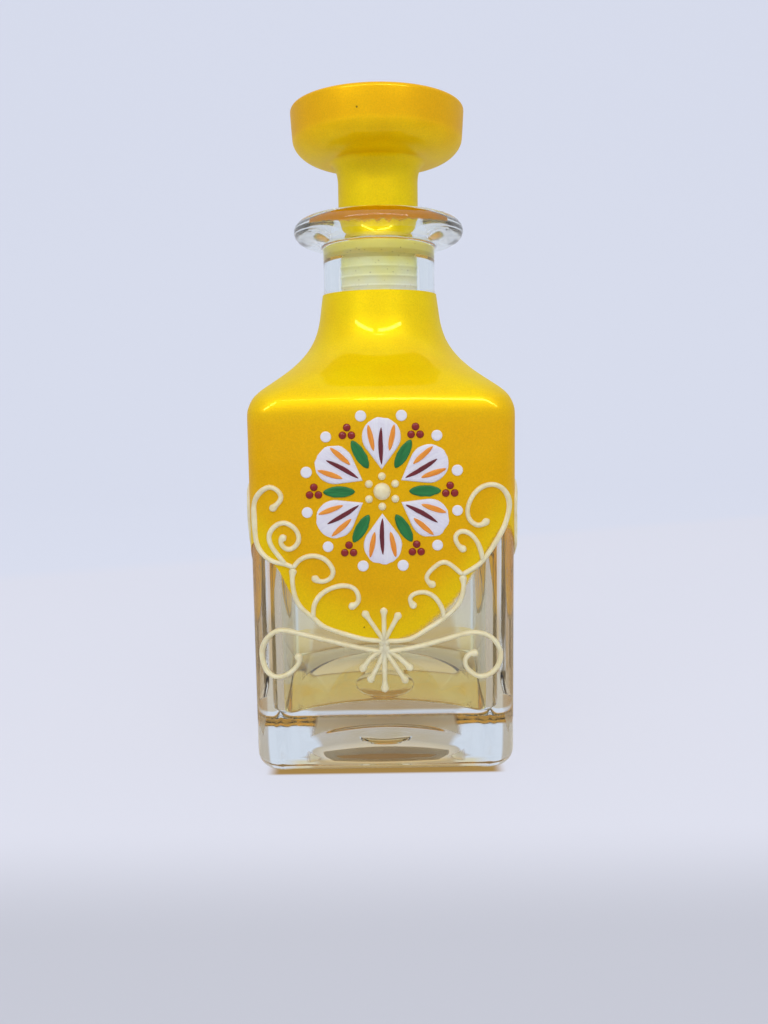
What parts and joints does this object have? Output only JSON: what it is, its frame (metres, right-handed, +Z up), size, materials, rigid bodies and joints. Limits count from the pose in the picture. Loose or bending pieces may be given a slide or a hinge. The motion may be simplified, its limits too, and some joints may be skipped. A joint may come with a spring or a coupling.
{
  "type": "decanter",
  "caption": "Square glass decanter with a round neck, rolled lip and disc stopper in a sealing sleeve, coated in gold lacquer with piped relief scrolls and a painted rosette.",
  "frame": {"origin": "on the resting plane, under the middle of the base", "axes": "+Z up along the neck; -Y is the face with the painted rosette; +X to the right seen from it"},
  "size_m": [0.0682, 0.0688, 0.1707],
  "materials": {
    "clear_glass": "polished, faintly green pressed glass",
    "gold_lacquer": "glossy pearl gold lacquer",
    "soft_sleeve": "translucent natural polyethylene",
    "cream_relief": "semi-gloss raised contour paste",
    "white_paint": "satin acrylic paint with brush marks",
    "maroon_paint": "satin acrylic paint",
    "orange_paint": "satin acrylic paint",
    "green_paint": "satin acrylic paint",
    "red_paint": "glossy acrylic paint"
  },
  "bodies": {
    "bottle": {"bottle_glass": "clear_glass", "bottle_lacquer": "gold_lacquer", "front_swags": "cream_relief", "front_scrolls": "cream_relief", "right_swags": "cream_relief", "right_scrolls": "cream_relief", "back_swags": "cream_relief", "back_scrolls": "cream_relief", "left_swags": "cream_relief", "left_scrolls": "cream_relief", "front_fan": "cream_relief", "front_base_scrolls": "cream_relief", "rosette_petals": "white_paint", "rosette_veins": "maroon_paint", "rosette_blushes": "orange_paint", "rosette_leaves": "green_paint", "rosette_berries": "red_paint", "rosette_dots": "white_paint", "rosette_beads": "cream_relief"},
    "sleeve": {"stopper_sleeve": "soft_sleeve"},
    "stopper": {"stopper_glass": "clear_glass", "stopper_lacquer": "gold_lacquer"}
  },
  "joints": [
    {"name": "stopper_lift", "type": "slide", "parent": "bottle", "child": "sleeve", "axis": [0, 0, 1], "range_m": [0, 0.045]},
    {"name": "stopper_turn", "type": "hinge", "parent": "sleeve", "child": "stopper", "pos_m": [0, 0, 0.1371], "axis": [0, 0, 1], "continuous": true}
  ]
}
